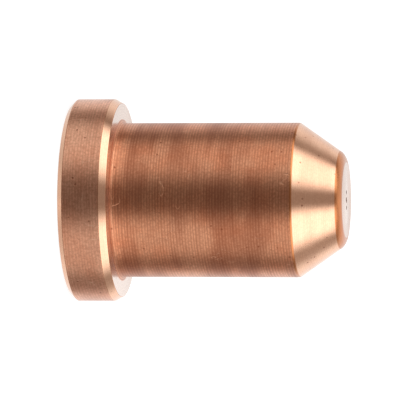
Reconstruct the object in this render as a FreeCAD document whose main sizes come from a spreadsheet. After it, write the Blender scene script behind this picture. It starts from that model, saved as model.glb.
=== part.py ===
"""Plasma torch nozzle: one piece turned from copper bar and drilled.

The frame has its origin at the centre of the flange's flat back face, with
+Z along the turning axis towards the nose. The nozzle stands on that face.
"""
import FreeCAD, Part
import math
import os
import Sketcher

# Every driving size, in millimetres or degrees: (alias, value, what it measures).
SIZES = (
    ("flange_diameter", 15.8, "outside of the seating flange"),
    ("flange_thickness", 3.8, "back face to front shoulder of the flange"),
    ("flange_back_chamfer", 0.4, "broken edge round the back face"),
    ("front_bevel_across", 0.32, "bevel round the front of the flange, across the face"),
    ("front_bevel_along", 0.55, "the same bevel, along the rim"),
    ("body_diameter", 12.05, "straight barrel in front of the flange"),
    ("root_fillet", 0.3, "tool radius where the barrel meets the flange"),
    ("nozzle_length", 21.45, "back face to the flat of the nose"),
    ("cone_length", 3.6, "nose cone, along the axis"),
    ("cone_half_angle", 35.0, "nose cone, measured from the axis"),
    ("shoulder_fillet", 0.3, "softened edge between barrel and cone"),
    ("nose_fillet", 1.1, "round between the cone and the flat of the nose"),
    ("seat_diameter", 10.2, "counterbore that takes the gas swirl ring"),
    ("seat_depth", 3.8, "depth of that counterbore"),
    ("seat_chamfer", 0.3, "lead-in at the mouth of the counterbore"),
    ("bore_diameter", 8.6, "chamber round the electrode"),
    ("bore_fillet", 0.5, "tool radius at the end of the chamber"),
    ("cone_wall", 1.7, "copper between the nose cone and the chamber"),
    ("nose_wall", 2.2, "copper that the arc and gas holes pass through"),
    ("orifice_diameter", 0.32, "arc hole on the axis"),
    ("orifice_mouth", 0.46, "countersink at the front of the arc hole"),
    ("mouth_angle", 90.0, "full angle of that countersink"),
    ("port_diameter", 0.32, "each gas hole beside the arc hole"),
    ("port_radius", 0.6, "axis to the centre of a gas hole"),
    ("port_count", 2, "gas holes, evenly spaced round the axis"),
)
NODE = "nozzle"

# Heights and radii that follow from the driving sizes, as the sheet's expressions.
SHOULDER_HEIGHT = "Sizes.nozzle_length - Sizes.cone_length"
NOSE_RADIUS = "Sizes.body_diameter / 2 - Sizes.cone_length * tan(Sizes.cone_half_angle * 1 deg)"
FLOOR_HEIGHT = "Sizes.nozzle_length - Sizes.nose_wall"
TAPER_HEIGHT = (
    SHOULDER_HEIGHT + " + (Sizes.body_diameter / 2 - Sizes.bore_diameter / 2"
    " - Sizes.cone_wall / cos(Sizes.cone_half_angle * 1 deg))"
    " / tan(Sizes.cone_half_angle * 1 deg)"
)
FLOOR_RADIUS = (
    NOSE_RADIUS
    + " + Sizes.nose_wall * tan(Sizes.cone_half_angle * 1 deg)"
    + " - Sizes.cone_wall / cos(Sizes.cone_half_angle * 1 deg)"
)


def make_sheet(doc):
    """Put every driving size into a spreadsheet, one row each, under its alias."""
    sheet = doc.addObject("Spreadsheet::Sheet", "Sizes")
    for row, (alias, value, meaning) in enumerate(SIZES, start=1):
        sheet.set(f"A{row}", alias)
        sheet.set(f"B{row}", str(value))
        sheet.set(f"C{row}", meaning)
        sheet.setAlias(f"B{row}", alias)
    doc.recompute()
    return sheet


def add_sketch(body, name, plane):
    """Add a sketch that lies on one of the body's own origin planes."""
    sketch = body.newObject("Sketcher::SketchObject", name)
    origin_plane = [item for item in body.Origin.OriginFeatures if item.Role == plane][0]
    sketch.AttachmentSupport = [(origin_plane, "")]
    sketch.MapMode = "FlatFace"
    return sketch


def draw_outline(sketch, corners):
    """Draw straight lines round the corners, joined end to end, closed at the first.

    A line whose ends share a height or a radius is held level or upright. The
    first corner is held on the sketch's origin or on its upright axis.
    """
    count = len(corners)
    for index, (radius, height) in enumerate(corners):
        next_radius, next_height = corners[(index + 1) % count]
        start = FreeCAD.Vector(radius, height, 0)
        end = FreeCAD.Vector(next_radius, next_height, 0)
        sketch.addGeometry(Part.LineSegment(start, end), False)
        if height == next_height:
            sketch.addConstraint(Sketcher.Constraint("Horizontal", index))
        elif radius == next_radius:
            sketch.addConstraint(Sketcher.Constraint("Vertical", index))
    for index in range(count):
        following = (index + 1) % count
        sketch.addConstraint(Sketcher.Constraint("Coincident", index, 2, following, 1))
    sketch.addConstraint(Sketcher.Constraint("Coincident", 0, 1, -1, 1))


def give_size(sketch, kind, line, value, expression):
    """Hold the start of a line at a distance from the origin that the sheet gives."""
    number = sketch.addConstraint(Sketcher.Constraint(kind, -1, 1, line, 1, value))
    sketch.setExpression(f"Constraints[{number}]", expression)


def round_edge(shape, radius, height):
    """Name the circular edge about the Z axis with this radius at this height."""
    for number, edge in enumerate(shape.Edges, start=1):
        curve = edge.Curve
        if not isinstance(curve, Part.Circle):
            continue
        on_axis = math.hypot(curve.Center.x, curve.Center.y) < 1e-6
        if on_axis and abs(curve.Radius - radius) < 1e-4 and abs(curve.Center.z - height) < 1e-4:
            return f"Edge{number}"
    raise ValueError(f"no round edge of radius {radius:.3f} at height {height:.3f}")


def dress_edges(body, kind, name, places, property_name, expression):
    """Chamfer or fillet the round edges at (radius, height) places of the body's tip."""
    base = body.Tip
    feature = body.newObject(kind, name)
    feature.Base = (base, [round_edge(base.Shape, radius, height) for radius, height in places])
    feature.setExpression(property_name, expression)
    body.Document.recompute()
    return feature


def turn_outside(body, size):
    """Turn the outside: flange, straight barrel, nose cone and flat nose."""
    flange_radius = size["flange_diameter"] / 2
    body_radius = size["body_diameter"] / 2
    corners = (
        (0.0, 0.0),
        (flange_radius, 0.0),
        (flange_radius, size["flange_thickness"]),
        (body_radius, size["flange_thickness"]),
        (body_radius, size["shoulder_height"]),
        (size["nose_radius"], size["nozzle_length"]),
        (0.0, size["nozzle_length"]),
    )
    sketch = add_sketch(body, "OutsideSection", "XZ_Plane")
    draw_outline(sketch, corners)
    give_size(sketch, "DistanceX", 1, flange_radius, "Sizes.flange_diameter / 2")
    give_size(sketch, "DistanceY", 2, size["flange_thickness"], "Sizes.flange_thickness")
    give_size(sketch, "DistanceX", 3, body_radius, "Sizes.body_diameter / 2")
    give_size(sketch, "DistanceY", 4, size["shoulder_height"], SHOULDER_HEIGHT)
    give_size(sketch, "DistanceX", 5, size["nose_radius"], NOSE_RADIUS)
    give_size(sketch, "DistanceY", 5, size["nozzle_length"], "Sizes.nozzle_length")
    turned = body.newObject("PartDesign::Revolution", "TurnedOutside")
    turned.Profile = sketch
    turned.ReferenceAxis = (sketch, ["V_Axis"])
    turned.Angle = 360.0
    body.Document.recompute()


def bore_inside(body, size):
    """Bore the back: swirl ring seat, electrode chamber, taper and flat floor.

    The taper runs parallel to the nose cone, one cone wall inside it.
    """
    seat_radius = size["seat_diameter"] / 2
    bore_radius = size["bore_diameter"] / 2
    corners = (
        (0.0, 0.0),
        (seat_radius, 0.0),
        (seat_radius, size["seat_depth"]),
        (bore_radius, size["seat_depth"]),
        (bore_radius, size["taper_height"]),
        (size["floor_radius"], size["floor_height"]),
        (0.0, size["floor_height"]),
    )
    sketch = add_sketch(body, "BoreSection", "XZ_Plane")
    draw_outline(sketch, corners)
    give_size(sketch, "DistanceX", 1, seat_radius, "Sizes.seat_diameter / 2")
    give_size(sketch, "DistanceY", 2, size["seat_depth"], "Sizes.seat_depth")
    give_size(sketch, "DistanceX", 3, bore_radius, "Sizes.bore_diameter / 2")
    give_size(sketch, "DistanceY", 4, size["taper_height"], TAPER_HEIGHT)
    give_size(sketch, "DistanceX", 5, size["floor_radius"], FLOOR_RADIUS)
    give_size(sketch, "DistanceY", 5, size["floor_height"], FLOOR_HEIGHT)
    bored = body.newObject("PartDesign::Groove", "BoredInside")
    bored.Profile = sketch
    bored.ReferenceAxis = (sketch, ["V_Axis"])
    bored.Angle = 360.0
    body.Document.recompute()


def finish_edges(body, size):
    """Break and round the turned edges as the lathe tools leave them."""
    flange_radius = size["flange_diameter"] / 2
    body_radius = size["body_diameter"] / 2
    step = size["flange_thickness"]
    chamfer = "PartDesign::Chamfer"
    fillet = "PartDesign::Fillet"
    back_edge = [(flange_radius, 0.0)]
    front_edge = [(flange_radius, step)]
    seat_edge = [(size["seat_diameter"] / 2, 0.0)]
    root_edge = [(body_radius, step)]
    shoulder_edge = [(body_radius, size["shoulder_height"])]
    nose_edge = [(size["nose_radius"], size["nozzle_length"])]
    floor_edge = [(size["floor_radius"], size["floor_height"])]
    dress_edges(body, chamfer, "BackChamfer", back_edge, "Size", "Sizes.flange_back_chamfer")
    bevel = dress_edges(body, chamfer, "FrontBevel", front_edge, "Size", "Sizes.front_bevel_across")
    bevel.ChamferType = "Two distances"
    bevel.FlipDirection = True
    bevel.setExpression("Size2", "Sizes.front_bevel_along")
    body.Document.recompute()
    dress_edges(body, chamfer, "SeatChamfer", seat_edge, "Size", "Sizes.seat_chamfer")
    dress_edges(body, fillet, "RootFillet", root_edge, "Radius", "Sizes.root_fillet")
    dress_edges(body, fillet, "ShoulderFillet", shoulder_edge, "Radius", "Sizes.shoulder_fillet")
    dress_edges(body, fillet, "NoseFillet", nose_edge, "Radius", "Sizes.nose_fillet")
    dress_edges(body, fillet, "FloorFillet", floor_edge, "Radius", "Sizes.bore_fillet")


def nose_sketch(body, name):
    """Add a sketch that lies on the flat of the nose."""
    sketch = add_sketch(body, name, "XY_Plane")
    sketch.setExpression(".AttachmentOffset.Base.z", "Sizes.nozzle_length")
    return sketch


def drill_arc_hole(body, size):
    """Drill the countersunk arc hole on the axis, from the nose into the chamber."""
    sketch = nose_sketch(body, "ArcHoleCentre")
    circle = Part.Circle(FreeCAD.Vector(0, 0, 0), FreeCAD.Vector(0, 0, 1), size["orifice_diameter"] / 2)
    sketch.addGeometry(circle, False)
    sketch.addConstraint(Sketcher.Constraint("Coincident", 0, 3, -1, 1))
    width = sketch.addConstraint(Sketcher.Constraint("Diameter", 0, size["orifice_diameter"]))
    sketch.setExpression(f"Constraints[{width}]", "Sizes.orifice_diameter")
    body.Document.recompute()
    hole = body.newObject("PartDesign::Hole", "ArcHole")
    hole.Profile = sketch
    hole.Threaded = False
    hole.DepthType = "ThroughAll"
    hole.setExpression("Diameter", "Sizes.orifice_diameter")
    hole.HoleCutType = "Countersink"
    hole.HoleCutCustomValues = True
    hole.setExpression("HoleCutDiameter", "Sizes.orifice_mouth")
    hole.setExpression("HoleCutCountersinkAngle", "Sizes.mouth_angle")
    body.Document.recompute()


def drill_gas_ports(body, size):
    """Drill one gas hole beside the arc hole and repeat it round the axis."""
    sketch = nose_sketch(body, "GasPortCentre")
    centre = FreeCAD.Vector(size["port_radius"], 0, 0)
    sketch.addGeometry(Part.Circle(centre, FreeCAD.Vector(0, 0, 1), size["port_diameter"] / 2), False)
    sketch.addConstraint(Sketcher.Constraint("PointOnObject", 0, 3, -1))
    away = sketch.addConstraint(Sketcher.Constraint("DistanceX", -1, 1, 0, 3, size["port_radius"]))
    sketch.setExpression(f"Constraints[{away}]", "Sizes.port_radius")
    width = sketch.addConstraint(Sketcher.Constraint("Diameter", 0, size["port_diameter"]))
    sketch.setExpression(f"Constraints[{width}]", "Sizes.port_diameter")
    port = body.newObject("PartDesign::Pocket", "GasPort")
    port.Profile = sketch
    port.Type = "ThroughAll"
    body.Document.recompute()
    ports = body.newObject("PartDesign::PolarPattern", "GasPorts")
    ports.Originals = [port]
    ports.Axis = (sketch, ["N_Axis"])
    ports.Angle = 360.0
    ports.setExpression("Occurrences", "Sizes.port_count")
    body.Tip = ports
    body.Document.recompute()


def check_model(doc, body, volumes):
    """Stop if any object failed, the solid is unsound, or a cut removed nothing."""
    for item in doc.Objects:
        if "Invalid" in item.State or "Error" in item.State:
            raise RuntimeError(f"{item.Name} did not build: {item.State}")
    shape = body.Shape
    if shape.isNull() or not shape.isValid() or len(shape.Solids) != 1:
        raise RuntimeError("the nozzle is not one sound solid")
    for name, before, after in volumes:
        if after >= before:
            raise RuntimeError(f"{name} removed nothing")


def derived_sizes(sheet):
    """Read the sheet and work out the corners that the driving sizes lead to."""
    size = {alias: float(sheet.get(alias)) for alias, value, meaning in SIZES}
    slope = math.tan(math.radians(size["cone_half_angle"]))
    wall = size["cone_wall"] / math.cos(math.radians(size["cone_half_angle"]))
    body_radius = size["body_diameter"] / 2
    size["shoulder_height"] = size["nozzle_length"] - size["cone_length"]
    size["nose_radius"] = body_radius - size["cone_length"] * slope
    size["floor_height"] = size["nozzle_length"] - size["nose_wall"]
    size["floor_radius"] = size["nose_radius"] + size["nose_wall"] * slope - wall
    spare = body_radius - size["bore_diameter"] / 2 - wall
    size["taper_height"] = size["shoulder_height"] + spare / slope
    return size


def main():
    doc = FreeCAD.newDocument("PlasmaTorchNozzle")
    sheet = make_sheet(doc)
    size = derived_sizes(sheet)
    body = doc.addObject("PartDesign::Body", "Nozzle")
    body.Label = NODE
    doc.recompute()

    turn_outside(body, size)
    volumes = []
    for cut in (bore_inside, finish_edges, drill_arc_hole, drill_gas_ports):
        before = body.Shape.Volume
        cut(body, size)
        volumes.append((cut.__name__, before, body.Shape.Volume))
    body.Placement = FreeCAD.Placement()
    doc.recompute()
    check_model(doc, body, volumes)

    os.makedirs("parts", exist_ok=True)
    body.Shape.exportStep(f"parts/{NODE}.step")
    print(f"{NODE}: {len(body.Shape.Faces)} faces, {body.Shape.Volume:.3f} mm3")
    for name, before, after in volumes:
        print(f"{name}: removed {before - after:.4f} mm3")


main()
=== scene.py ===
import math

import bpy
import numpy as np
from bpy.props import FloatProperty, FloatVectorProperty, IntProperty, PointerProperty
from mathutils import Matrix, Vector
from mathutils.geometry import delaunay_2d_cdt


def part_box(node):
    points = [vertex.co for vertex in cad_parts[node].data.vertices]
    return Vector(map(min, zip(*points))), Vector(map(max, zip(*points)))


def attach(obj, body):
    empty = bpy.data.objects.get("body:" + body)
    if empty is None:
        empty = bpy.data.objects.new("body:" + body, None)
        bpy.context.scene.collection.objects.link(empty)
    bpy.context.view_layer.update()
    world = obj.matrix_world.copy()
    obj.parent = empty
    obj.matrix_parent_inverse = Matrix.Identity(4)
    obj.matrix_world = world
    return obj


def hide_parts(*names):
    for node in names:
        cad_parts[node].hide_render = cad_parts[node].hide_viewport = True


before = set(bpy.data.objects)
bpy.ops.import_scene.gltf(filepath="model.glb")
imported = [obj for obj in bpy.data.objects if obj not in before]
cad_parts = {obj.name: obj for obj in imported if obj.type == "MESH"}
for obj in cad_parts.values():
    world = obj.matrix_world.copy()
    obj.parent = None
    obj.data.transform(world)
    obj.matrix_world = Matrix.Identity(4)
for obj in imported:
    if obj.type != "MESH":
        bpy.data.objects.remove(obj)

bl_info = {
    "name": "Plasma Torch Nozzle",
    "version": (1, 0, 0),
    "blender": (4, 5, 0),
    "location": "View3D > Sidebar > Nozzle",
    "description": "Turned copper plasma torch nozzle on a plain studio floor",
    "category": "Add Mesh",
}

MM = 0.001
PER_MM = 1.0 / MM
CAD_LOW, CAD_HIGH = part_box("nozzle")
FLANGE_RADIUS = CAD_HIGH.x
NOZZLE_LENGTH = CAD_HIGH.z

# Fineness of the mesh.
ARC_STEPS_PER_RADIAN = 4
ARC_STEP_LENGTH = 0.12 * MM
STEPS_PER_FEED_LINE = 4
WEAKEST_FEED_LINE = 0.35
FEED_SEED = 7
HOLE_SEGMENTS = 40
HOLE_LIP = 0.012 * MM
HOLE_RINGS = (0.25, 0.6, 1.0)
INSIDE_CIRCLE = 0.98
JOIN_DISTANCE = 1e-7
SHARP_EDGE = math.radians(32)

# Sockets of Blender's Mix node, whose inputs for numbers and for colours share their names.
MIX_NUMBERS = (2, 3)
MIX_COLOURS = (6, 7)
MIX_COLOUR_RESULT = 2

# The studio: turns about the upright axis and heights above the horizon in degrees, and light levels.
STUDIO_WHITE = (1.0, 1.0, 1.0, 1.0)
WARM_ROOM = (1.0, 0.86, 0.78, 1.0)
UPPER_BOX = (18.0, 58.0, 88.0, 112.0)
LOWER_BOX = (-112.0, -80.0, -46.0, -10.0)
BOX_LEVELS = (0.16, 1.6)
BOX_HORIZON = (-22.0, 26.0)
BOX_TOP = (66.0, 84.0)
COVE_UPPER = (108.0, 142.0)
COVE_LOWER = (-146.0, -120.0)
COVE_LEVEL = 0.7
ROOM_HEIGHTS = (-20.0, 60.0)
ROOM_LEVELS = (0.18, 0.34)
SIDE_WALL = (-124.0, -96.0)
SIDE_WALL_LEVEL = 0.2
CEILING = (70.0, 85.0)
CEILING_LEVEL = 0.25
WARM_LEVELS = (0.15, 0.85)

# The floor's greys: what lights the part, what keeps the shadow, and the pale glow to the eye.
FLOOR_GREY = (0.8, 0.8, 0.8, 1.0)
SHADOW_GREY = (0.3, 0.3, 0.3, 1.0)
FLOOR_GLOW = 0.85


def length_size(name, millimetres, description):
    """A length in the sidebar, given in millimetres and kept in metres."""
    return FloatProperty(
        name=name,
        description=description,
        default=millimetres * MM,
        min=0.0,
        precision=5,
        subtype="DISTANCE",
        unit="LENGTH",
    )


def tint(name, rgb, description):
    """A colour in the sidebar."""
    return FloatVectorProperty(
        name=name, description=description, default=rgb, min=0.0, max=1.0, subtype="COLOR", size=3
    )


class NozzleSizes(bpy.types.PropertyGroup):
    """Sizes of the turned part. The flange's radius and the overall length come from the frame."""

    flange_thickness: length_size("Flange thickness", 3.8, "Back face to front shoulder")
    back_chamfer: length_size("Back chamfer", 0.4, "Broken edge round the back face")
    bevel_across: length_size("Bevel across", 0.32, "Front bevel of the flange, across the face")
    bevel_along: length_size("Bevel along", 0.55, "The same bevel, along the rim")
    barrel_diameter: length_size("Barrel diameter", 12.05, "Straight barrel")
    root_round: length_size("Root round", 0.3, "Where the barrel meets the flange")
    cone_length: length_size("Cone length", 3.6, "Nose cone, along the axis")
    cone_half_angle: FloatProperty(
        name="Cone half angle",
        description="Nose cone, measured from the axis",
        default=math.radians(35),
        subtype="ANGLE",
        unit="ROTATION",
    )
    shoulder_round: length_size("Shoulder round", 0.3, "Between barrel and cone")
    nose_round: length_size("Nose round", 1.1, "Between cone and flat nose")
    seat_diameter: length_size("Seat diameter", 10.2, "Counterbore for the swirl ring")
    seat_depth: length_size("Seat depth", 3.8, "Depth of the counterbore")
    seat_chamfer: length_size("Seat chamfer", 0.3, "Lead-in of the counterbore")
    bore_diameter: length_size("Bore diameter", 8.6, "Chamber round the electrode")
    bore_round: length_size("Bore round", 0.5, "Tool radius at the end of the chamber")
    cone_wall: length_size("Cone wall", 1.7, "Copper between cone and chamber")
    nose_wall: length_size("Nose wall", 2.2, "Copper that the fine holes pass through")
    hole_diameter: length_size("Hole diameter", 0.32, "Arc hole and gas holes")
    arc_mouth: length_size("Arc hole mouth", 0.46, "Countersink of the arc hole")
    hole_spacing: length_size("Hole spacing", 0.6, "Axis to the centre of a gas hole")
    drilled_patch: length_size("Drilled patch", 1.1, "Radius of the flat that holds the fine holes")
    tool_edge: length_size("Tool edge", 0.035, "Round left on every crisp turned edge")
    feed: length_size("Feed", 0.22, "Tool advance for each turn")
    feed_depth: length_size("Feed depth", 0.0012, "Depth of the turned feed lines")
    turns: IntProperty(name="Segments", description="Segments round the axis", default=160, min=24)


class NozzleFinish(bpy.types.PropertyGroup):
    """Colours of the copper's finishes, with painted shade on the edges, in the holes and in the
    feed-line grooves, and painted sheen on the flat faces.
    """

    barrel: tint("Barrel copper", (0.86, 0.42, 0.245), "Coarsely turned barrel")
    rim: tint("Rim copper", (1.0, 0.56, 0.37), "Turned flange rim")
    bright: tint("Bright copper", (0.95, 0.57, 0.38), "Finely cut cone and bevel")
    # Painted shade: the edge colour darkens the rounded edges to stand in for the dark lines that shade
    # and dark reflections leave along them.
    edge: tint("Edge copper", (0.66, 0.27, 0.11), "Rounded edges, darkened by handling")
    # Painted sheen: the face colour is paler, greyer copper on the flat faces, standing in for the
    # whitish reflection they show at a grazing angle.
    face: tint("Faced copper", (0.82, 0.66, 0.57), "Faced nose and shoulder")
    # Painted shade: the hole colour darkens the walls of the fine holes to stand in for the shade deep
    # inside them.
    hole: tint("Hole brown", (0.10, 0.03, 0.02), "Sooted walls of the fine holes")
    inside: tint("Bored copper", (0.80, 0.40, 0.26), "Bored inside")
    # The tarnish colour is real oxide in the clouds, specks and pits, and painted shade in the feed-line
    # grooves.
    tarnish_and_groove_shade: tint("Tarnish", (0.30, 0.085, 0.04), "Red-brown oxide in the marks")


class StudioSizes(bpy.types.PropertyGroup):
    """Camera, floor and studio."""

    tilt: FloatProperty(
        name="Camera height angle",
        description="How far the camera looks down on the standing nozzle",
        default=math.radians(8.9),
        subtype="ANGLE",
        unit="ROTATION",
    )
    distance: length_size("Camera distance", 345.2, "Camera to the flange's back face")
    aim: length_size("Aim height", 9.81, "Point of the axis at the middle of the view")
    lens: FloatProperty(name="Lens", description="Focal length", default=396.0, subtype="DISTANCE_CAMERA")
    floor_half_width: length_size("Floor half width", 3000.0, "Half the floor's side")


# --- the turned surface -------------------------------------------------------------------


def rounded_path(corners):
    """Turn (radius, height, round) corners into a list of spans.

    A span is the straight run between two corners less the tangent length that
    each round takes, which is the round times the tangent of half the turn.
    A round is an arc about the point one round away from both of its runs.
    Returns (kind, points) pairs, alternately "run" and "round".
    """
    points = np.array([corner[:2] for corner in corners], float)
    rounds = [corner[2] for corner in corners]
    steps = np.diff(points, axis=0)
    ahead = steps / np.linalg.norm(steps, axis=1)[:, None]
    spans = []
    start = points[0]
    for index in range(1, len(corners)):
        way = ahead[index - 1]
        if index == len(corners) - 1:
            spans.append(("run", np.array([start, points[index]])))
            break
        following = ahead[index]
        turn = math.atan2(way[0] * following[1] - way[1] * following[0], float(way @ following))
        tangent = rounds[index] * abs(math.tan(turn / 2))
        spans.append(("run", np.array([start, points[index] - tangent * way])))
        side = math.copysign(1.0, turn) * np.array([-way[1], way[0]])
        centre = points[index] - tangent * way + rounds[index] * side
        steps_wanted = abs(turn) * ARC_STEPS_PER_RADIAN + rounds[index] / ARC_STEP_LENGTH
        count = max(3, int(math.ceil(steps_wanted)))
        swing = np.linspace(0.0, turn, count + 1)[:, None]
        spoke = -rounds[index] * side
        turned = np.hstack([
            spoke[0] * np.cos(swing) - spoke[1] * np.sin(swing),
            spoke[0] * np.sin(swing) + spoke[1] * np.cos(swing),
        ])
        spans.append(("round", centre + turned))
        start = centre + turned[-1]
    return spans


def feed_lines(run, feed, depth, chance):
    """Sample a straight run with the shallow scallops that a turning tool leaves.

    Along the run, in feeds, the depth below the surface is depth times the
    line's own strength times one minus the square of how far the point lies
    from the middle of its scallop, so each line is a parabola with crests between.
    """
    length = float(np.linalg.norm(run[1] - run[0]))
    lines = max(1, int(round(length / feed)))
    share = np.linspace(0.0, 1.0, lines * STEPS_PER_FEED_LINE + 1)
    within = (share * lines) % 1.0
    number = np.minimum((share * lines).astype(int), lines - 1)
    strength = WEAKEST_FEED_LINE + (1.0 - WEAKEST_FEED_LINE) * chance.random(lines)[number]
    sink = depth * strength * (1.0 - (2.0 * within - 1.0) ** 2)
    way = (run[1] - run[0]) / length
    outward = np.array([-way[1], way[0]])
    return run[0] + share[:, None] * (run[1] - run[0]) - sink[:, None] * outward


def section(sizes, chance):
    """The half section from the drilled patch of the nose, round the outside and back up the bore.

    Returns the (radius, height) points and, for each step between them, its finish.
    """
    slope = math.tan(sizes.cone_half_angle)
    wall = sizes.cone_wall / math.cos(sizes.cone_half_angle)
    barrel = sizes.barrel_diameter / 2
    seat = sizes.seat_diameter / 2
    bore = sizes.bore_diameter / 2
    shoulder = NOZZLE_LENGTH - sizes.cone_length
    nose = barrel - sizes.cone_length * slope
    floor = NOZZLE_LENGTH - sizes.nose_wall
    taper = shoulder + (barrel - bore - wall) / slope
    floor_radius = nose + sizes.nose_wall * slope - wall
    edge = sizes.tool_edge
    step = sizes.flange_thickness
    corners = (
        (sizes.drilled_patch, NOZZLE_LENGTH, 0.0),
        (nose, NOZZLE_LENGTH, sizes.nose_round),
        (barrel, shoulder, sizes.shoulder_round),
        (barrel, step, sizes.root_round),
        (FLANGE_RADIUS - sizes.bevel_across, step, edge),
        (FLANGE_RADIUS, step - sizes.bevel_along, edge),
        (FLANGE_RADIUS, sizes.back_chamfer, edge),
        (FLANGE_RADIUS - sizes.back_chamfer, 0.0, edge),
        (seat + sizes.seat_chamfer, 0.0, edge),
        (seat, sizes.seat_chamfer, edge),
        (seat, sizes.seat_depth, edge),
        (bore, sizes.seat_depth, edge),
        (bore, taper, edge),
        (floor_radius, floor, sizes.bore_round),
        (sizes.drilled_patch, floor, 0.0),
    )
    # Finish and share of the full feed depth for each run, nose first.
    runs = (
        ("face", 0.15), ("bright", 0.12), ("barrel", 1.0), ("face", 0.3), ("bright", 0.2),
        ("rim", 0.9), ("bright", 0.2), ("face", 0.3), ("inside", 0.2), ("inside", 0.3),
        ("inside", 0.2), ("inside", 0.3), ("inside", 0.3), ("inside", 0.2),
    )
    # Feed of each finish, as a multiple of the barrel's.
    feeds = {"barrel": 1.0, "rim": 1.0, "bright": 1.6, "face": 1.6, "inside": 4.0}
    # Finish of each round, in the same order; the edge finish paints shade on the rounds.
    round_finish = ("edge", "edge", "barrel", "edge", "edge") + ("edge",) * 3 + ("inside",) * 5
    pieces, finishes = [], []
    run_number = 0
    for kind, points in rounded_path(corners):
        if kind == "round":
            finish = round_finish[run_number - 1]
        if kind == "run":
            finish, share = runs[run_number]
            feed = sizes.feed * feeds[finish]
            points = feed_lines(points, feed, sizes.feed_depth * share, chance)
            run_number += 1
        if pieces:
            points = points[1:]
        pieces.append(points)
        finishes.extend([finish] * (len(points) - (0 if len(pieces) > 1 else 1)))
    return np.vstack(pieces), finishes


def revolve(points, turns):
    """Carry (radius, height) points round the Z axis.

    A grid point is (radius cos turn, radius sin turn, height). Returns the grid's
    vertices, ring by ring, and the quads between neighbouring rings.
    """
    turn = np.linspace(0.0, 2.0 * math.pi, turns, endpoint=False)
    grid = np.empty((len(points), turns, 3))
    grid[:, :, 0] = points[:, 0][:, None] * np.cos(turn)
    grid[:, :, 1] = points[:, 0][:, None] * np.sin(turn)
    grid[:, :, 2] = points[:, 1][:, None]
    ring, step = np.meshgrid(np.arange(len(points) - 1), np.arange(turns), indexing="ij")
    following = (step + 1) % turns
    quads = np.stack([
        ring * turns + step,
        (ring + 1) * turns + step,
        (ring + 1) * turns + following,
        ring * turns + following,
    ], axis=-1).reshape(-1, 4)
    return grid.reshape(-1, 3), quads


def drilled_flat(ring, circles):
    """Fill the flat inside a ring of points, leaving the circles open.

    The triangles come from a constrained triangulation of the ring and circles.
    Those whose middle lies inside a circle are left out. Returns triangles that
    index the ring first and then each circle, counter-clockwise seen from above.
    """
    outlines = [ring] + circles
    points = np.vstack(outlines)
    edges, start = [], 0
    for outline in outlines:
        number = np.arange(len(outline))
        edges.extend(zip((start + number).tolist(), (start + (number + 1) % len(outline)).tolist()))
        start += len(outline)
    # The triangulation works in millimetres, which keeps its join distance well below the lips.
    flat = [Vector((x * PER_MM, y * PER_MM)) for x, y in points]
    corners, _, faces, sources, _, _ = delaunay_2d_cdt(flat, edges, [], 0, JOIN_DISTANCE)
    if len(corners) != len(points):
        raise RuntimeError("the drilled flat gained or lost points")
    source = np.array([item[0] for item in sources])
    triangles = source[np.array([face for face in faces if len(face) == 3])]
    middle = points[triangles].mean(axis=1)
    keep = np.ones(len(triangles), bool)
    for circle in circles:
        centre = circle.mean(axis=0)
        reach = INSIDE_CIRCLE * np.linalg.norm(circle[0] - centre)
        keep &= np.linalg.norm(middle - centre, axis=1) > reach
    return triangles[keep]


def circle_points(centre_x, radius, count):
    """Points at even turns round a circle about (centre_x, 0)."""
    turn = np.linspace(0.0, 2.0 * math.pi, count, endpoint=False)
    return np.column_stack([centre_x + radius * np.cos(turn), radius * np.sin(turn)])


def nozzle_mesh(sizes):
    """The whole closed surface: the turned grid, the two drilled flats and the hole walls."""
    chance = np.random.default_rng(FEED_SEED)
    points, finishes = section(sizes, chance)
    turns = sizes.turns
    vertices, quads = revolve(points, turns)
    floor = points[-1][1]
    hole = sizes.hole_diameter / 2
    around = HOLE_SEGMENTS
    # Each hole's place along X, the radius of its mouth and the depth of its lead-in.
    places = (
        (0.0, sizes.arc_mouth / 2, sizes.arc_mouth / 2 - hole),
        (sizes.hole_spacing, hole + HOLE_LIP, HOLE_LIP),
        (-sizes.hole_spacing, hole + HOLE_LIP, HOLE_LIP),
    )
    first_ring = np.arange(turns)
    last_ring = np.arange(turns) + (len(points) - 1) * turns
    parts = [vertices]
    faces = [quads.tolist()]
    names = [[finish for finish in finishes for _ in range(turns)]]
    top_index, bottom_index = [first_ring], [last_ring]
    top_circles, bottom_circles = [], []
    start = len(vertices)
    for centre_x, mouth, lead in places:
        depths = [0.0, lead] + [ring * sizes.nose_wall for ring in HOLE_RINGS]
        radii = [mouth] + [hole] * (len(depths) - 1)
        wall = []
        for depth, radius in zip(depths, radii):
            circle = circle_points(centre_x, radius, around)
            wall.append(np.column_stack([circle, np.full(around, NOZZLE_LENGTH - depth)]))
        parts.extend(wall)
        level, step = np.meshgrid(np.arange(len(depths) - 1), np.arange(around), indexing="ij")
        following = (step + 1) % around
        hole_quads = start + np.stack([
            level * around + step,
            level * around + following,
            (level + 1) * around + following,
            (level + 1) * around + step,
        ], axis=-1).reshape(-1, 4)
        faces.append(hole_quads.tolist())
        names.append(["hole"] * len(hole_quads))
        top_index.append(start + np.arange(around))
        bottom_index.append(start + (len(depths) - 1) * around + np.arange(around))
        top_circles.append(circle_points(centre_x, mouth, around))
        bottom_circles.append(circle_points(centre_x, hole, around))
        start += len(depths) * around
    everything = np.vstack(parts)
    for index, circles, finish, upward in (
        (top_index, top_circles, "face", True),
        (bottom_index, bottom_circles, "inside", False),
    ):
        index = np.concatenate(index)
        triangles = drilled_flat(everything[index[:turns]][:, :2], circles)
        triangles = index[triangles]
        if not upward:
            triangles = triangles[:, ::-1]
        faces.append(triangles.tolist())
        names.append([finish] * len(triangles))
    return everything, sum(faces, []), sum(names, [])


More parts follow.
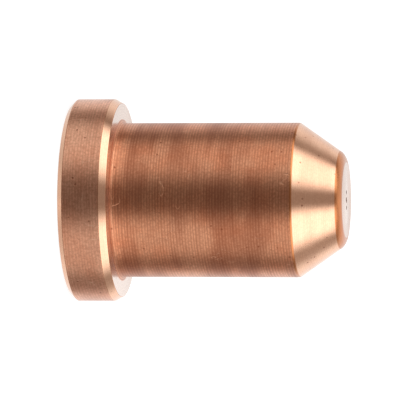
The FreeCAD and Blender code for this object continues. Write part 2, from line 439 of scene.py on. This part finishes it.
def enclosed_volume(vertices, faces):
    """Six times the volume is the sum, over fan triangles, of corner dot (corner cross corner)."""
    fans = np.array([(f[0], f[k], f[k + 1]) for f in faces for k in range(1, len(f) - 1)])
    a, b, c = (vertices[fans[:, k]] for k in range(3))
    return float(np.einsum("ij,ij->i", a, np.cross(b, c)).sum() / 6.0)


# --- shader helpers -----------------------------------------------------------------------


class Nodes:
    """Short calls for building one node tree."""

    def __init__(self, tree):
        self.tree = tree

    def add(self, kind, **settings):
        """A new node with some of its settings."""
        node = self.tree.nodes.new(kind)
        for name, value in settings.items():
            setattr(node, name, value)
        return node

    def put(self, value, socket):
        """Link an output to an input, or set the input's own value."""
        if isinstance(value, bpy.types.NodeSocket):
            self.tree.links.new(value, socket)
        else:
            socket.default_value = value

    def math(self, operation, *values):
        """A sum, product or other operation on numbers."""
        node = self.add("ShaderNodeMath", operation=operation)
        for value, socket in zip(values, node.inputs):
            self.put(value, socket)
        return node.outputs[0]

    def ramp(self, value, low, high, to_low=0.0, to_high=1.0):
        """A smooth step of value from low to high."""
        node = self.add("ShaderNodeMapRange", interpolation_type="SMOOTHSTEP")
        for item, socket in zip((value, low, high, to_low, to_high), node.inputs):
            self.put(item, socket)
        return node.outputs[0]

    def band(self, value, rise_low, rise_high, fall_low, fall_high):
        """One between rise_high and fall_low, and nought outside rise_low and fall_high."""
        rise = self.ramp(value, rise_low, rise_high)
        fall = self.ramp(value, fall_low, fall_high, 1.0, 0.0)
        return self.math("MULTIPLY", rise, fall)

    def mix(self, factor, first, second):
        """A colour between the first and the second."""
        node = self.add("ShaderNodeMix", data_type="RGBA")
        self.put(factor, node.inputs[0])
        for colour, socket in zip((first, second), MIX_COLOURS):
            self.put(colour, node.inputs[socket])
        return node.outputs[MIX_COLOUR_RESULT]

    def blend(self, factor, first, second):
        """A number between the first and the second."""
        node = self.add("ShaderNodeMix", data_type="FLOAT")
        self.put(factor, node.inputs[0])
        for value, socket in zip((first, second), MIX_NUMBERS):
            self.put(value, node.inputs[socket])
        return node.outputs[0]

    def noise(self, vector, scale, detail, roughness, seed):
        """Smooth noise, with a seed that tells one use of it from another."""
        node = self.add("ShaderNodeTexNoise", noise_dimensions="4D")
        self.put(vector, node.inputs["Vector"])
        self.put(seed, node.inputs["W"])
        self.put(scale, node.inputs["Scale"])
        self.put(detail, node.inputs["Detail"])
        self.put(roughness, node.inputs["Roughness"])
        return node.outputs[0]


def new_group(name, inputs, outputs):
    """An empty shader node group with named sockets, each given as (kind, name, default)."""
    group = bpy.data.node_groups.new(name, "ShaderNodeTree")
    for kind, socket_name, default in inputs:
        socket = group.interface.new_socket(socket_name, in_out="INPUT", socket_type=kind)
        socket.default_value = default
    for kind, socket_name in outputs:
        group.interface.new_socket(socket_name, in_out="OUTPUT", socket_type=kind)
    nodes = Nodes(group)
    return group, nodes, nodes.add("NodeGroupInput"), nodes.add("NodeGroupOutput")


def lathe_marks_group():
    """Lines that run round the axis.

    The noise is read at (x, y, height less radius), squeezed along the last and
    stretched along the others, so a line keeps to its circle on barrel, cone and
    face alike and fades as it goes round.
    """
    group, nodes, given, result = new_group(
        "lathe_marks",
        (
            ("NodeSocketFloat", "Fine lines per millimetre", 14.0),
            ("NodeSocketFloat", "Coarse lines per millimetre", 2.6),
            ("NodeSocketFloat", "Arc of a line", 0.35),
            ("NodeSocketFloat", "Coarse share", 0.5),
            ("NodeSocketFloat", "Feeds per millimetre", 4.5),
        ),
        (
            ("NodeSocketFloat", "Height"),
            ("NodeSocketFloat", "Line"),
            ("NodeSocketFloat", "Band"),
            ("NodeSocketFloat", "Grain"),
        ),
    )
    place = nodes.add("ShaderNodeTexCoord").outputs["Object"]
    split = nodes.add("ShaderNodeSeparateXYZ")
    nodes.put(place, split.inputs[0])
    x, y, z = split.outputs
    squared = nodes.math("ADD", nodes.math("MULTIPLY", x, x), nodes.math("MULTIPLY", y, y))
    along = nodes.math("SUBTRACT", z, nodes.math("SQRT", squared))

    def streaks(lines, seed, detail):
        """Noise with this many lines for each millimetre along the part."""
        joined = nodes.add("ShaderNodeCombineXYZ")
        arc = nodes.math("MULTIPLY", given.outputs["Arc of a line"], PER_MM)
        across = nodes.math("MULTIPLY", lines, PER_MM)
        nodes.put(nodes.math("MULTIPLY", x, arc), joined.inputs[0])
        nodes.put(nodes.math("MULTIPLY", y, arc), joined.inputs[1])
        nodes.put(nodes.math("MULTIPLY", along, across), joined.inputs[2])
        return nodes.noise(joined.outputs[0], 1.0, detail, 0.6, seed)

    fine = streaks(given.outputs["Fine lines per millimetre"], 1.0, 2.0)
    coarse = streaks(given.outputs["Coarse lines per millimetre"], 5.0, 3.0)
    band = streaks(0.45, 9.0, 2.0)
    # Feed lines: one smooth wave for each turn of the tool, shifted a little by the coarse noise.
    feeds = nodes.math("MULTIPLY", given.outputs["Feeds per millimetre"], PER_MM)
    phase = nodes.math("MULTIPLY", along, feeds)
    phase = nodes.math("ADD", phase, nodes.math("MULTIPLY", coarse, 1.3))
    wave = nodes.math("SINE", nodes.math("MULTIPLY", phase, 2.0 * math.pi))
    grain = nodes.noise(place, 5.5 * PER_MM, 3.0, 0.7, 3.0)
    strength = nodes.ramp(grain, 0.35, 0.65, 0.25, 1.0)
    wave = nodes.math("MULTIPLY", nodes.math("MULTIPLY", wave, strength), 0.5)
    height = nodes.blend(given.outputs["Coarse share"], fine, wave)
    nodes.put(height, result.inputs["Height"])
    # The groove mask, strongest in the troughs of the feed wave; the copper uses it for painted shade in
    # the grooves.
    groove = nodes.ramp(wave, -0.42, 0.3, 1.0, 0.0)
    line = nodes.math("MULTIPLY", groove, nodes.ramp(coarse, 0.3, 0.7, 0.45, 1.0))
    nodes.put(line, result.inputs["Line"])
    nodes.put(band, result.inputs["Band"])
    nodes.put(grain, result.inputs["Grain"])
    return group


def handling_group():
    """Marks of handling: small pits, a few scratches across the lines, and faint clouds of oxide."""
    group, nodes, given, result = new_group(
        "handling",
        (
            ("NodeSocketFloat", "Pits", 0.5),
            ("NodeSocketFloat", "Scratches", 0.5),
            ("NodeSocketFloat", "Clouds per millimetre", 0.35),
        ),
        (("NodeSocketFloat", "Pit"), ("NodeSocketFloat", "Scratch"), ("NodeSocketFloat", "Cloud")),
    )
    place = nodes.add("ShaderNodeTexCoord").outputs["Object"]

    cells = nodes.add("ShaderNodeTexVoronoi", voronoi_dimensions="3D", feature="F1")
    nodes.put(place, cells.inputs["Vector"])
    nodes.put(1.3 * PER_MM, cells.inputs["Scale"])
    spot = nodes.ramp(cells.outputs["Distance"], 0.05, 0.15, 1.0, 0.0)
    picked = nodes.ramp(cells.outputs["Color"], 0.54, 0.58)
    pit = nodes.math("MULTIPLY", nodes.math("MULTIPLY", spot, picked), given.outputs["Pits"])
    nodes.put(pit, result.inputs["Pit"])

    warped = nodes.add("ShaderNodeMapping", vector_type="POINT")
    warped.inputs["Rotation"].default_value = (0.4, 0.9, 0.3)
    warped.inputs["Scale"].default_value = (0.25 * PER_MM, 3.2 * PER_MM, 0.9 * PER_MM)
    nodes.put(place, warped.inputs["Vector"])
    strand = nodes.noise(warped.outputs[0], 1.0, 1.0, 0.4, 2.0)
    thin = nodes.math("ABSOLUTE", nodes.math("SUBTRACT", strand, 0.5))
    gate = nodes.ramp(nodes.noise(place, 0.55 * PER_MM, 1.0, 0.5, 4.0), 0.60, 0.66)
    scratch = nodes.math("MULTIPLY", nodes.ramp(thin, 0.002, 0.008, 1.0, 0.0), gate)
    nodes.put(nodes.math("MULTIPLY", scratch, given.outputs["Scratches"]), result.inputs["Scratch"])

    scale = nodes.math("MULTIPLY", given.outputs["Clouds per millimetre"], PER_MM)
    cloud = nodes.noise(place, scale, 4.0, 0.6, 7.0)
    nodes.put(nodes.ramp(cloud, 0.38, 0.72), result.inputs["Cloud"])
    return group


def use_group(nodes, group, **values):
    """Put a group into a material. A keyword is a socket's name in small letters with underscores."""
    node = nodes.add("ShaderNodeGroup", node_tree=group)
    for name, value in values.items():
        node.inputs[name.replace("_", " ").capitalize()].default_value = value
    return node


def copper(name, colour, tarnish_and_groove_shade, groups, look):
    """One finish of the copper: lathe lines, handling marks, tint and roughness that follow them, the
    tint laying painted shade into the feed-line grooves.
    """
    material = bpy.data.materials.new(name)
    material.use_nodes = True
    nodes = Nodes(material.node_tree)
    shader = material.node_tree.nodes["Principled BSDF"]
    lines = use_group(
        nodes,
        groups["lathe_marks"],
        fine_lines_per_millimetre=look["fine"],
        coarse_lines_per_millimetre=look["coarse"],
        arc_of_a_line=look["arc"],
        coarse_share=look["coarse_share"],
    )
    marks = use_group(nodes, groups["handling"], pits=look["pits"], scratches=look["scratches"])
    deep = tuple(colour) + (1.0,)
    brown = tuple(tarnish_and_groove_shade) + (1.0,)
    # Redder copper for the clouds of oxide, and paler copper where a scratch is fresh.
    rosy = (colour[0], colour[1] * 0.82, colour[2] * 0.74, 1.0)
    base = nodes.mix(nodes.math("MULTIPLY", marks.outputs["Cloud"], look["rosy"]), deep, rosy)
    # Painted shade: the groove mask lays the tarnish colour into the feed-line grooves, standing in for
    # the shade the lines show.
    groove_shade = nodes.math("MULTIPLY", lines.outputs["Line"], look["groove_shade"])
    base = nodes.mix(groove_shade, base, brown)
    patch = nodes.ramp(lines.outputs["Band"], 0.42, 0.62, 0.0, look["cloudy"])
    base = nodes.mix(patch, base, brown)
    speckle = nodes.ramp(lines.outputs["Grain"], 0.3, 0.7, look["grain"], 0.0)
    base = nodes.mix(speckle, base, brown)
    base = nodes.mix(nodes.math("MULTIPLY", marks.outputs["Pit"], 0.8), base, brown)
    pale = (min(1.0, colour[0] * 1.1), colour[1] * 1.25, colour[2] * 1.35, 1.0)
    base = nodes.mix(nodes.math("MULTIPLY", marks.outputs["Scratch"], 0.5), base, pale)
    nodes.put(base, shader.inputs["Base Color"])
    shader.inputs["Metallic"].default_value = 1.0
    rough = nodes.ramp(lines.outputs["Band"], 0.3, 0.7, look["rough"] - 0.05, look["rough"] + 0.05)
    rough = nodes.math("ADD", rough, nodes.math("MULTIPLY", groove_shade, 0.1))
    nodes.put(rough, shader.inputs["Roughness"])
    shader.inputs["Anisotropic"].default_value = look["brushed"]
    shader.inputs["Anisotropic Rotation"].default_value = 0.25
    tangent = nodes.add("ShaderNodeTangent", direction_type="RADIAL", axis="Z")
    nodes.put(tangent.outputs[0], shader.inputs["Tangent"])
    pit_depth = nodes.math("MULTIPLY", marks.outputs["Pit"], -2.0)
    scratch_depth = nodes.math("MULTIPLY", marks.outputs["Scratch"], -1.5)
    height = nodes.math("ADD", lines.outputs["Height"], nodes.math("ADD", pit_depth, scratch_depth))
    bump = nodes.add("ShaderNodeBump")
    bump.inputs["Strength"].default_value = 1.0
    bump.inputs["Distance"].default_value = look["relief"] * MM
    nodes.put(height, bump.inputs["Height"])
    nodes.put(bump.outputs[0], shader.inputs["Normal"])
    return material


def finish_table(finish):
    """Colour and look of each finish on the part.

    fine and coarse count lines for each millimetre, relief is in millimetres, and the
    rest are shares: rough and brushed of the shader's scale, the others of full strength.
    """
    coarse = dict(
        fine=14.0, coarse=2.0, arc=0.12, coarse_share=0.5, brushed=0.85, grain=0.45, cloudy=0.3
    )
    fine = dict(
        fine=22.0, coarse=4.0, arc=0.12, coarse_share=0.4, brushed=0.6, grain=0.15, cloudy=0.1
    )
    return {
        "barrel": (finish.barrel, dict(
            coarse, rough=0.42, groove_shade=0.5, rosy=0.8, pits=1.0, scratches=1.0, relief=0.005,
            cloudy=0.45)),
        "rim": (finish.rim, dict(
            coarse, rough=0.36, groove_shade=0.3, rosy=0.6, pits=1.0, scratches=0.8, relief=0.0045,
            cloudy=0.25)),
        "bright": (finish.bright, dict(
            fine, rough=0.17, groove_shade=0.1, rosy=0.2, pits=0.9, scratches=0.6, relief=0.0006)),
        # The edge finish carries painted shade on the rounded edges.
        "edge": (finish.edge, dict(
            fine, rough=0.24, groove_shade=0.35, rosy=0.6, pits=0.8, scratches=0.2, relief=0.0008)),
        # The face finish carries painted sheen on the flat faces.
        "face": (finish.face, dict(
            fine, rough=0.25, groove_shade=0.08, rosy=0.1, pits=0.2, scratches=0.2, relief=0.0006)),
        "inside": (finish.inside, dict(
            coarse, rough=0.45, groove_shade=0.4, rosy=0.5, pits=0.3, scratches=0.2, relief=0.003)),
        # The hole finish carries painted shade in the fine holes.
        "hole": (finish.hole, dict(
            coarse, rough=0.6, groove_shade=0.3, rosy=0.5, pits=0.1, scratches=0.0, relief=0.001)),
    }


# --- operators ----------------------------------------------------------------------------


class NOZZLE_OT_part(bpy.types.Operator):
    """Make the turned nozzle and give each region its finish"""

    bl_idname = "nozzle.part"
    bl_label = "Nozzle"

    def execute(self, context):
        sizes = context.scene.nozzle_sizes
        vertices, faces, names = nozzle_mesh(sizes)
        if enclosed_volume(vertices, faces) <= 0.0:
            raise RuntimeError("the nozzle's surface is inside out")
        mesh = bpy.data.meshes.new("nozzle_turned")
        mesh.from_pydata(vertices.tolist(), [], faces)
        table = finish_table(context.scene.nozzle_finish)
        order = list(table)
        mesh.polygons.foreach_set("material_index", [order.index(name) for name in names])
        mesh.polygons.foreach_set("use_smooth", [True] * len(faces))
        mesh.set_sharp_from_angle(angle=SHARP_EDGE)
        if mesh.validate():
            raise RuntimeError("the nozzle's mesh had faults")
        piece = bpy.data.objects.new("nozzle_turned", mesh)
        context.scene.collection.objects.link(piece)
        groups = {"lathe_marks": lathe_marks_group(), "handling": handling_group()}
        tarnish_and_groove_shade = tuple(context.scene.nozzle_finish.tarnish_and_groove_shade)
        for name, (colour, look) in table.items():
            material = copper(f"copper_{name}", tuple(colour), tarnish_and_groove_shade, groups, look)
            mesh.materials.append(material)
        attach(piece, "root")
        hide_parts("nozzle")
        return {"FINISHED"}


def studio_world(world):
    """A white cove behind, a long soft box on each side, and the dim room that the camera stands in.

    Everything is a function of a direction's turn about the upright axis, nought
    towards the camera and positive towards -X, and of its height above the
    horizon, both in degrees.
    """
    world.use_nodes = True
    tree = world.node_tree
    tree.nodes.clear()
    nodes = Nodes(tree)
    way = nodes.add("ShaderNodeTexCoord").outputs["Generated"]
    split = nodes.add("ShaderNodeSeparateXYZ")
    nodes.put(way, split.inputs[0])
    x, y, z = split.outputs
    degrees = 180.0 / math.pi
    turn = nodes.math("ARCTAN2", nodes.math("MULTIPLY", x, -1.0), nodes.math("MULTIPLY", y, -1.0))
    turn = nodes.math("MULTIPLY", turn, degrees)
    height = nodes.math("MULTIPLY", nodes.math("ARCSINE", z), degrees)

    boxes = nodes.math("ADD", nodes.band(turn, *UPPER_BOX), nodes.band(turn, *LOWER_BOX))
    cove_lower = nodes.ramp(turn, *COVE_LOWER, 1.0, 0.0)
    cove = nodes.math("ADD", nodes.ramp(turn, *COVE_UPPER), cove_lower)

    # The boxes are dim below the horizon, where the floor would be, and end short of overhead.
    box_top = nodes.ramp(height, *BOX_TOP, 1.0, 0.0)
    low_box = nodes.math("MULTIPLY", BOX_LEVELS[0], boxes)
    high_box = nodes.math("MULTIPLY", BOX_LEVELS[1], nodes.math("MULTIPLY", boxes, box_top))
    level = nodes.blend(nodes.ramp(height, *BOX_HORIZON), low_box, high_box)
    level = nodes.math("ADD", level, nodes.ramp(height, *ROOM_HEIGHTS, *ROOM_LEVELS))
    side_wall = nodes.ramp(turn, *SIDE_WALL, 1.0, 0.0)
    for part, part_level in (
        (side_wall, SIDE_WALL_LEVEL),
        (cove, COVE_LEVEL),
        (nodes.ramp(height, *CEILING), CEILING_LEVEL),
    ):
        level = nodes.math("ADD", level, nodes.math("MULTIPLY", part_level, part))
    warm = nodes.ramp(level, *WARM_LEVELS, 1.0, 0.0)

    path = nodes.add("ShaderNodeLightPath")
    background = nodes.add("ShaderNodeBackground")
    walls = nodes.mix(warm, STUDIO_WHITE, WARM_ROOM)
    hue = nodes.mix(path.outputs["Is Camera Ray"], walls, STUDIO_WHITE)
    nodes.put(hue, background.inputs["Color"])
    strength = nodes.blend(path.outputs["Is Camera Ray"], level, 1.0)
    nodes.put(strength, background.inputs["Strength"])
    output = nodes.add("ShaderNodeOutputWorld")
    nodes.put(background.outputs[0], output.inputs["Surface"])


def floor_material():
    """A matt white floor that stays pale to the eye and keeps the part's shadow.

    Glossy rays pass through it to the studio, so the copper shows the soft boxes.
    """
    material = bpy.data.materials.new("studio_floor")
    material.use_nodes = True
    tree = material.node_tree
    tree.nodes.clear()
    nodes = Nodes(tree)
    path = nodes.add("ShaderNodeLightPath")
    matt = nodes.add("ShaderNodeBsdfDiffuse")
    matt.inputs["Color"].default_value = FLOOR_GREY
    shadowed = nodes.add("ShaderNodeBsdfDiffuse")
    shadowed.inputs["Color"].default_value = SHADOW_GREY
    glow = nodes.add("ShaderNodeEmission")
    glow.inputs["Strength"].default_value = FLOOR_GLOW
    pale = nodes.add("ShaderNodeAddShader")
    nodes.put(shadowed.outputs[0], pale.inputs[0])
    nodes.put(glow.outputs[0], pale.inputs[1])
    seen = nodes.add("ShaderNodeMixShader")
    nodes.put(path.outputs["Is Camera Ray"], seen.inputs[0])
    nodes.put(matt.outputs[0], seen.inputs[1])
    nodes.put(pale.outputs[0], seen.inputs[2])
    clear = nodes.add("ShaderNodeBsdfTransparent")
    past = nodes.add("ShaderNodeMixShader")
    nodes.put(path.outputs["Is Glossy Ray"], past.inputs[0])
    nodes.put(seen.outputs[0], past.inputs[1])
    nodes.put(clear.outputs[0], past.inputs[2])
    output = nodes.add("ShaderNodeOutputMaterial")
    nodes.put(past.outputs[0], output.inputs["Surface"])
    return material


class NOZZLE_OT_stage(bpy.types.Operator):
    """Make the floor, the studio light and the camera"""

    bl_idname = "nozzle.stage"
    bl_label = "Stage"

    def execute(self, context):
        scene = context.scene
        studio = scene.nozzle_studio
        half = studio.floor_half_width
        mesh = bpy.data.meshes.new("floor")
        mesh.from_pydata(
            [(-half, -half, 0), (half, -half, 0), (half, half, 0), (-half, half, 0)],
            [],
            [(0, 1, 2, 3)],
        )
        mesh.materials.append(floor_material())
        floor = bpy.data.objects.new("floor", mesh)
        scene.collection.objects.link(floor)

        scene.world = bpy.data.worlds.new("studio")
        studio_world(scene.world)
        scene.view_settings.view_transform = "Standard"

        # The camera stands on the -Y side, a little above, and is turned on its
        # side, so that the nozzle's axis lies level in the view, nose to the right.
        tilt = studio.tilt
        right = Vector((0.0, math.sin(tilt), math.cos(tilt)))
        back = Vector((0.0, -math.cos(tilt), math.sin(tilt)))
        up = back.cross(right)
        camera = bpy.data.objects.new("camera", bpy.data.cameras.new("camera"))
        camera.data.lens = studio.lens
        camera.data.sensor_width = 36.0
        camera.data.clip_start = 0.01
        camera.data.clip_end = 20.0
        turned = Matrix((right, up, back)).transposed().to_4x4()
        turned.translation = studio.aim * right + studio.distance * back
        camera.matrix_world = turned
        scene.collection.objects.link(camera)
        scene.camera = camera
        return {"FINISHED"}


class NOZZLE_PT_sidebar(bpy.types.Panel):
    """Nozzle tools in the 3D view's sidebar"""

    bl_idname = "NOZZLE_PT_sidebar"
    bl_label = "Nozzle"
    bl_space_type = "VIEW_3D"
    bl_region_type = "UI"
    bl_category = "Nozzle"

    def draw(self, context):
        layout = self.layout
        for group in ("nozzle_sizes", "nozzle_finish", "nozzle_studio"):
            settings = getattr(context.scene, group)
            for name in settings.bl_rna.properties.keys():
                if name not in ("rna_type", "name"):
                    layout.prop(settings, name)
        for operator in OPERATORS:
            layout.operator(operator.bl_idname)


OPERATORS = (NOZZLE_OT_part, NOZZLE_OT_stage)
CLASSES = (NozzleSizes, NozzleFinish, StudioSizes) + OPERATORS + (NOZZLE_PT_sidebar,)


def register():
    for item in CLASSES:
        bpy.utils.register_class(item)
    bpy.types.Scene.nozzle_sizes = PointerProperty(type=NozzleSizes)
    bpy.types.Scene.nozzle_finish = PointerProperty(type=NozzleFinish)
    bpy.types.Scene.nozzle_studio = PointerProperty(type=StudioSizes)


def unregister():
    del bpy.types.Scene.nozzle_studio
    del bpy.types.Scene.nozzle_finish
    del bpy.types.Scene.nozzle_sizes
    for item in reversed(CLASSES):
        bpy.utils.unregister_class(item)


def main():
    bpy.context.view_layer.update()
    register()
    bpy.ops.nozzle.part()
    bpy.ops.nozzle.stage()


if __name__ == "__main__":
    main()
